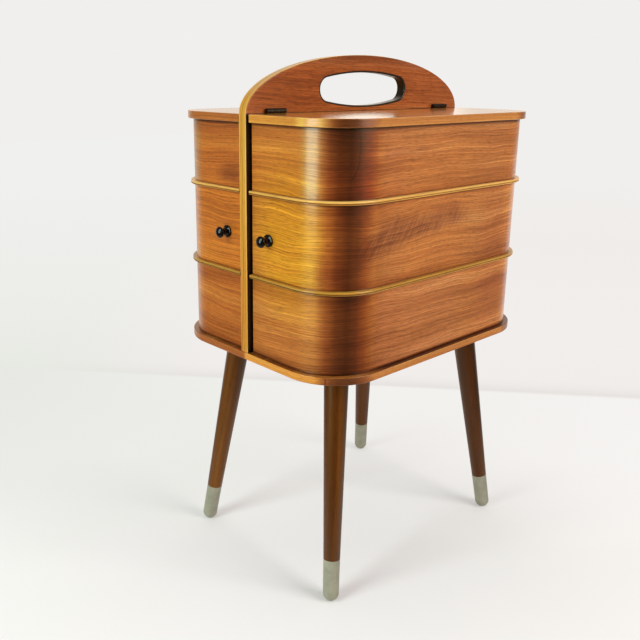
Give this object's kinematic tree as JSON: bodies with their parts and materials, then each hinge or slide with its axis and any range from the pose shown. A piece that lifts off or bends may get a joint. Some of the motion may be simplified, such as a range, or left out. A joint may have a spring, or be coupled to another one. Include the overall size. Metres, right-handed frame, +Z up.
{
  "type": "sewing carrier",
  "caption": "Rounded sewing carrier on splayed legs: two tray stacks that swing out from a centre board with an arched handle, under two hinged lids.",
  "frame": {"origin": "on the floor, under the middle of the whole object, knobs included", "axes": "+Z up, +X to the right when facing the knobs, so that the knobs look towards -Y"},
  "size_m": [0.276, 0.364, 0.5915],
  "materials": {
    "body_veneer": "gloss clear lacquer over teak-coloured veneer",
    "lid_veneer": "gloss clear lacquer over teak-coloured veneer",
    "base_veneer": "gloss clear lacquer",
    "board_veneer": "satin clear lacquer",
    "moulding_wood": "satin clear lacquer on pale solid wood",
    "tray_inside": "black stain, matt",
    "leg_wood": "satin lacquer",
    "ferrule_enamel": "satin grey",
    "knob_lacquer": "gloss black lacquer",
    "hinge_metal": "dark bronze",
    "plated_steel": "zinc plated"
  },
  "bodies": {
    "carcass": {"base_plate": "base_veneer", "board_screws": "plated_steel", "body_hinge_board_leaves_left": "hinge_metal", "body_hinge_board_leaves_right": "hinge_metal", "body_hinge_pins_left": "hinge_metal", "body_hinge_pins_right": "hinge_metal", "centre_board": "board_veneer", "ferrule_back_left": "ferrule_enamel", "ferrule_back_right": "ferrule_enamel", "ferrule_front_left": "ferrule_enamel", "ferrule_front_right": "ferrule_enamel", "leg_back_left": "leg_wood", "leg_back_right": "leg_wood", "leg_bolts": "plated_steel", "leg_front_left": "leg_wood", "leg_front_right": "leg_wood", "leg_plates": "plated_steel", "lid_hinge_board_leaves_left": "hinge_metal", "lid_hinge_board_leaves_right": "hinge_metal", "lid_hinge_pins_left": "hinge_metal", "lid_hinge_pins_right": "hinge_metal"},
    "right_lid": {"lid_right": "lid_veneer", "lid_hinge_leaves_right": "hinge_metal"},
    "right_body": {"back_stile_right": "tray_inside", "body_hinge_leaves_right": "hinge_metal", "bottom_floor_right": "tray_inside", "bottom_rail_right": "tray_inside", "bottom_wall_right": "body_veneer", "front_stile_right": "tray_inside", "knob_right": "knob_lacquer", "knob_screw_right": "plated_steel", "lower_bead_right": "moulding_wood", "middle_floor_right": "tray_inside", "middle_rail_right": "tray_inside", "middle_wall_right": "body_veneer", "top_floor_right": "tray_inside", "top_panel_right": "tray_inside", "top_wall_right": "body_veneer", "upper_bead_right": "moulding_wood"},
    "left_lid": {"lid_left": "lid_veneer", "lid_hinge_leaves_left": "hinge_metal"},
    "left_body": {"back_stile_left": "tray_inside", "body_hinge_leaves_left": "hinge_metal", "bottom_floor_left": "tray_inside", "bottom_rail_left": "tray_inside", "bottom_wall_left": "body_veneer", "front_stile_left": "tray_inside", "knob_left": "knob_lacquer", "knob_screw_left": "plated_steel", "lower_bead_left": "moulding_wood", "middle_floor_left": "tray_inside", "middle_rail_left": "tray_inside", "middle_wall_left": "body_veneer", "top_floor_left": "tray_inside", "top_panel_left": "tray_inside", "top_wall_left": "body_veneer", "upper_bead_left": "moulding_wood"}
  },
  "joints": [
    {"name": "right_lid_hinge", "type": "hinge", "parent": "carcass", "child": "right_lid", "pos_m": [0.0088, 0.0045, 0.5328], "axis": [0, -1, 0], "range_deg": [0, 94]},
    {"name": "left_lid_hinge", "type": "hinge", "parent": "carcass", "child": "left_lid", "pos_m": [-0.0088, 0.0045, 0.5328], "axis": [0, 1, 0], "range_deg": [0, 94]},
    {"name": "right_body_swing", "type": "hinge", "parent": "carcass", "child": "right_body", "pos_m": [0.0088, 0.1788, 0.3967], "axis": [0, 0, 1], "range_deg": [0, 90]},
    {"name": "left_body_swing", "type": "hinge", "parent": "carcass", "child": "left_body", "pos_m": [-0.0088, 0.1788, 0.3967], "axis": [0, 0, -1], "range_deg": [0, 90]}
  ]
}
